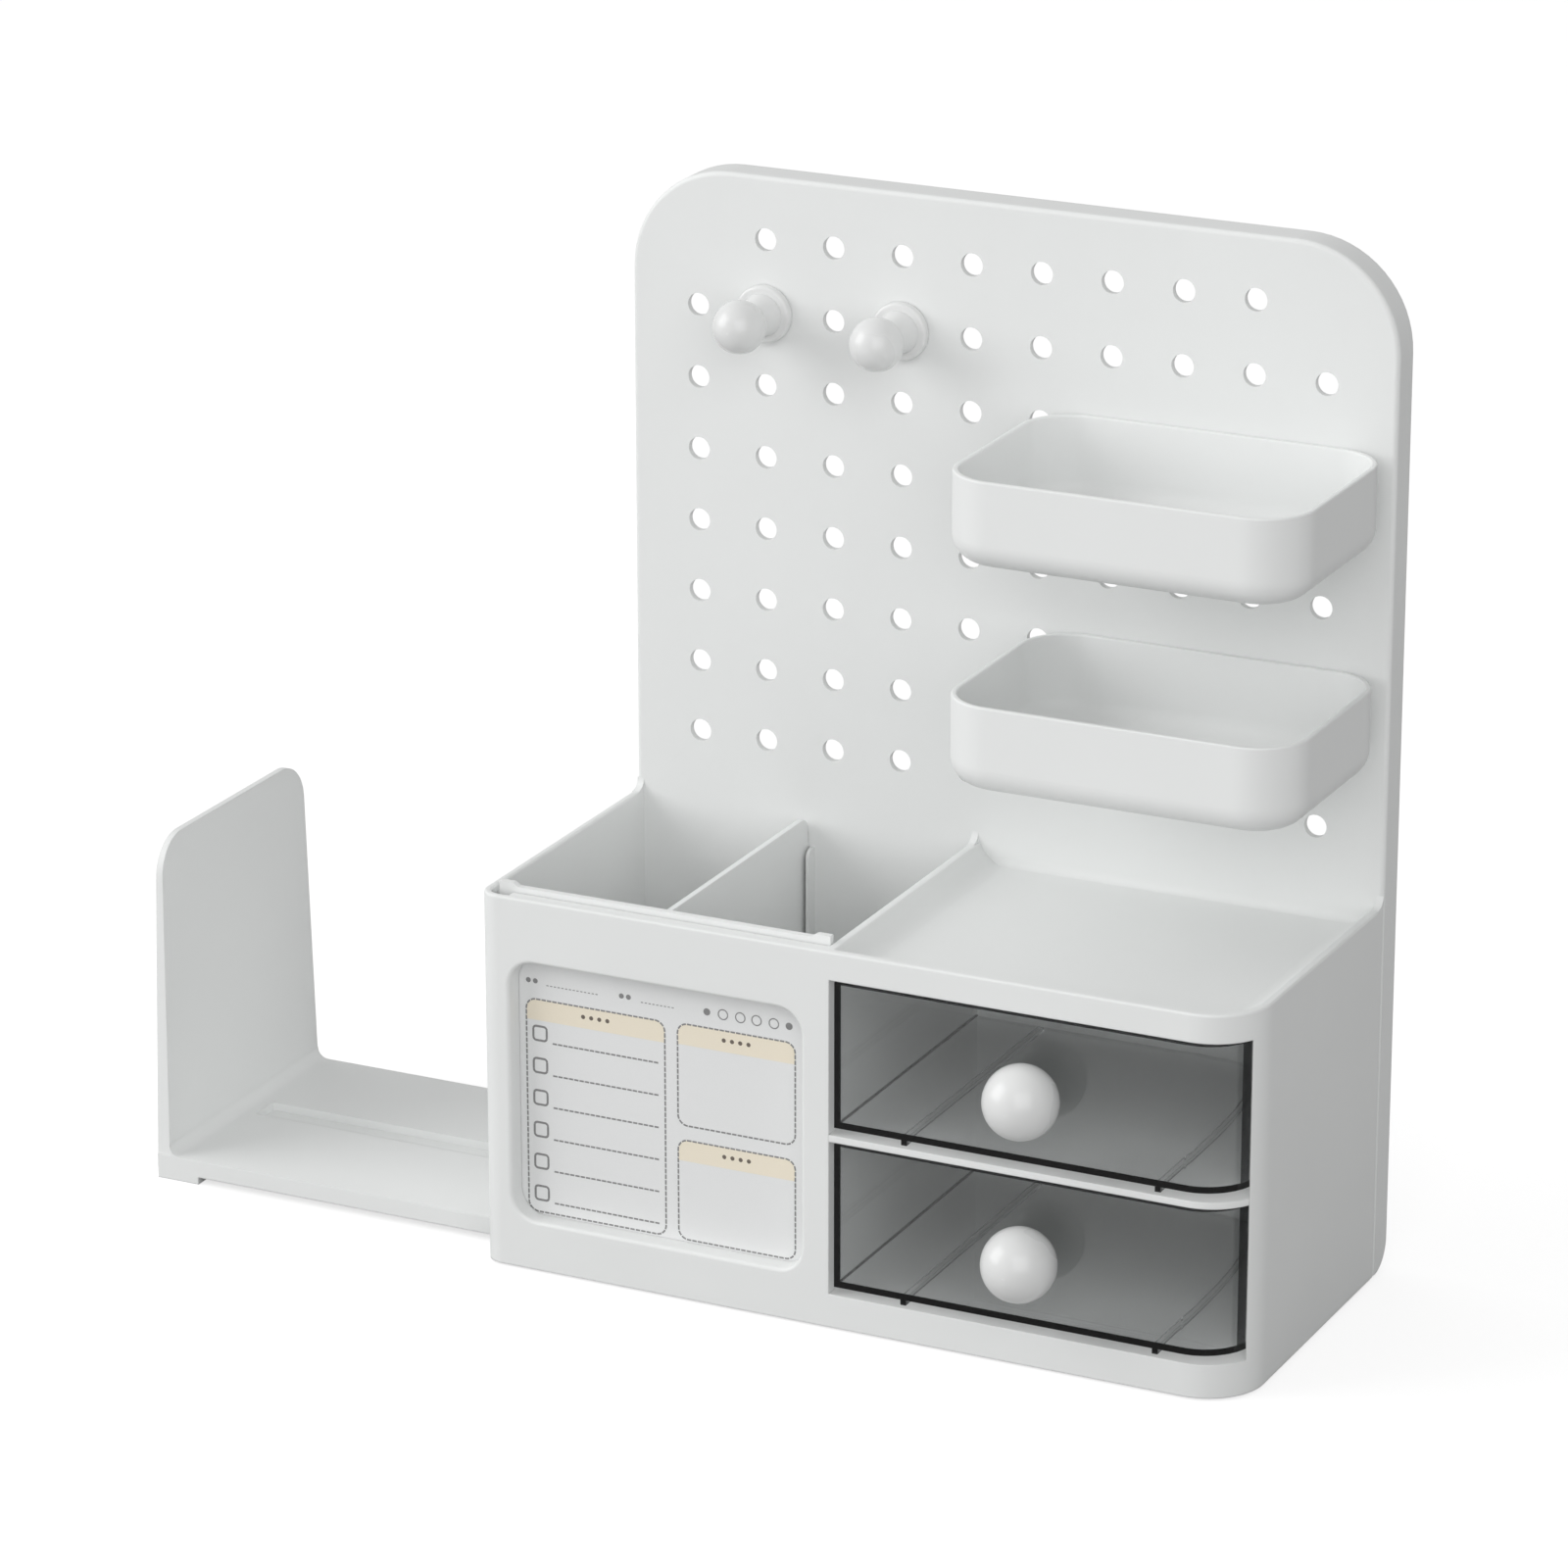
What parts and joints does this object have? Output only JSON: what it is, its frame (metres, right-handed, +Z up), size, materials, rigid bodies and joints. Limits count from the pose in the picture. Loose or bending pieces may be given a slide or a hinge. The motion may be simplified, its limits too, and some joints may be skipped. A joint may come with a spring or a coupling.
{
  "type": "pegboard desk organizer with drawers",
  "caption": "Desk cabinet with drawers, open bins and a memo window under an upright pegboard with trays and hooks, and a bookend that slides out of its side.",
  "frame": {"origin": "middle of the whole object's footprint at desk level, with the bookend drawn out", "axes": "+X to the right seen from the front, +Y to the back, +Z up"},
  "size_m": [0.4102, 0.1484, 0.353],
  "materials": {
    "housing_white": "fine satin moulded ABS, cool white",
    "gloss_white": "polished white plastic",
    "smoked_clear": "smoked transparent polystyrene",
    "card": "smooth laminated planner card with tan bands",
    "screw_steel": "zinc-plated steel",
    "foot_rubber": "grey non-slip rubber"
  },
  "bodies": {
    "cabinet": {"cabinet_shell": "housing_white", "pegboard_panel": "housing_white", "middle_shelf": "housing_white", "bottom_cover": "housing_white", "cover_screws": "screw_steel", "rubber_feet": "foot_rubber"},
    "bin_divider": {"bin_divider": "housing_white"},
    "memo_board": {"memo_board": "housing_white", "memo_card": "card"},
    "upper_drawer": {"upper_drawer": "smoked_clear", "upper_knob": "gloss_white", "upper_knob_screw": "screw_steel"},
    "lower_drawer": {"lower_drawer": "smoked_clear", "lower_knob": "gloss_white", "lower_knob_screw": "screw_steel"},
    "upper_tray": {"upper_tray": "housing_white"},
    "lower_tray": {"lower_tray": "housing_white"},
    "left_hook": {"left_hook": "gloss_white"},
    "right_hook": {"right_hook": "gloss_white"},
    "bookend": {"bookend": "housing_white"}
  },
  "joints": [
    {"name": "upper_drawer_slide", "type": "slide", "parent": "cabinet", "child": "upper_drawer", "axis": [0, -1, 0], "range_m": [0, 0.1]},
    {"name": "lower_drawer_slide", "type": "slide", "parent": "cabinet", "child": "lower_drawer", "axis": [0, -1, 0], "range_m": [0, 0.1]},
    {"name": "bookend_slide", "type": "slide", "parent": "cabinet", "child": "bookend", "axis": [1, 0, 0], "range_m": [0, 0.127]},
    {"name": "memo_board_lift", "type": "slide", "parent": "cabinet", "child": "memo_board", "axis": [0, 0, 1], "range_m": [0, 0.13]},
    {"name": "bin_divider_lift", "type": "slide", "parent": "cabinet", "child": "bin_divider", "axis": [0, 0, 1], "range_m": [0, 0.125]},
    {"name": "upper_tray_pull", "type": "slide", "parent": "cabinet", "child": "upper_tray", "axis": [0, -1, 0], "range_m": [0, 0.03]},
    {"name": "lower_tray_pull", "type": "slide", "parent": "cabinet", "child": "lower_tray", "axis": [0, -1, 0], "range_m": [0, 0.03]},
    {"name": "left_hook_pull", "type": "slide", "parent": "cabinet", "child": "left_hook", "axis": [0, -1, 0], "range_m": [0, 0.03]},
    {"name": "right_hook_pull", "type": "slide", "parent": "cabinet", "child": "right_hook", "axis": [0, -1, 0], "range_m": [0, 0.03]}
  ]
}
